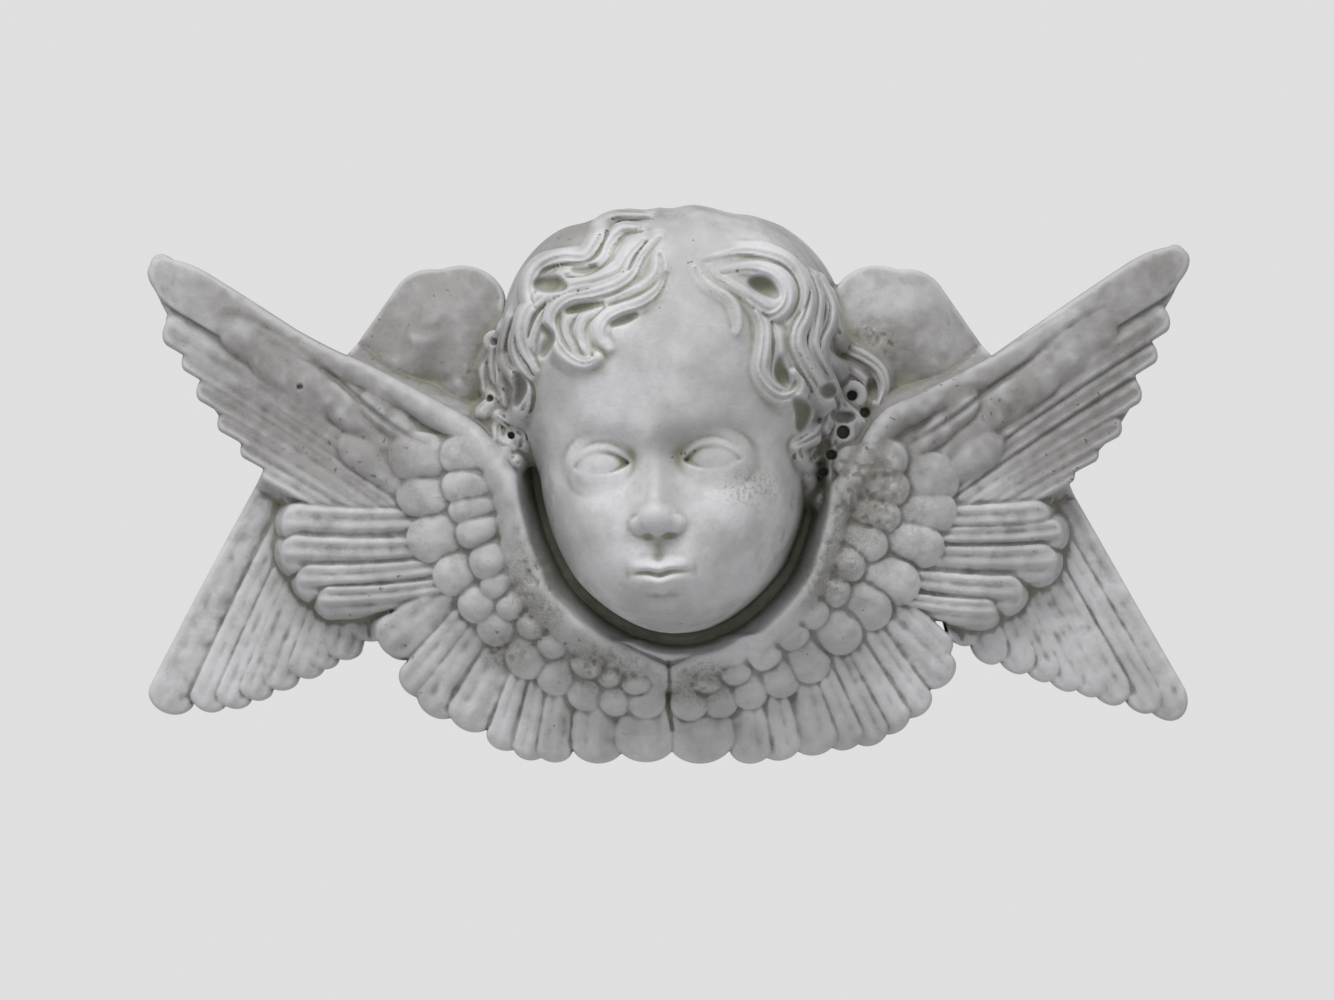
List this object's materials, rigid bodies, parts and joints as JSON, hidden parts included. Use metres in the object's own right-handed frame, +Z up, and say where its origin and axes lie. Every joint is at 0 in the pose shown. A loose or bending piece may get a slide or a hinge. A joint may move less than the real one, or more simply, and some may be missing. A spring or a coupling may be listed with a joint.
{
  "type": "winged putto head wall relief",
  "caption": "Carved marble wall relief of a curly-haired child's head between folded feathered wings, with a flat back.",
  "frame": {"origin": "on the flat back, behind the middle of the head", "axes": "+X to the viewer's right along the wing span, +Z up, +Y out of the flat back into the wall; the face looks along -Y"},
  "size_m": [0.4576, 0.1114, 0.2414],
  "materials": {
    "marble": "weathered, matt"
  },
  "bodies": {
    "root": {"winged_putto_head": "marble"}
  },
  "joints": []
}
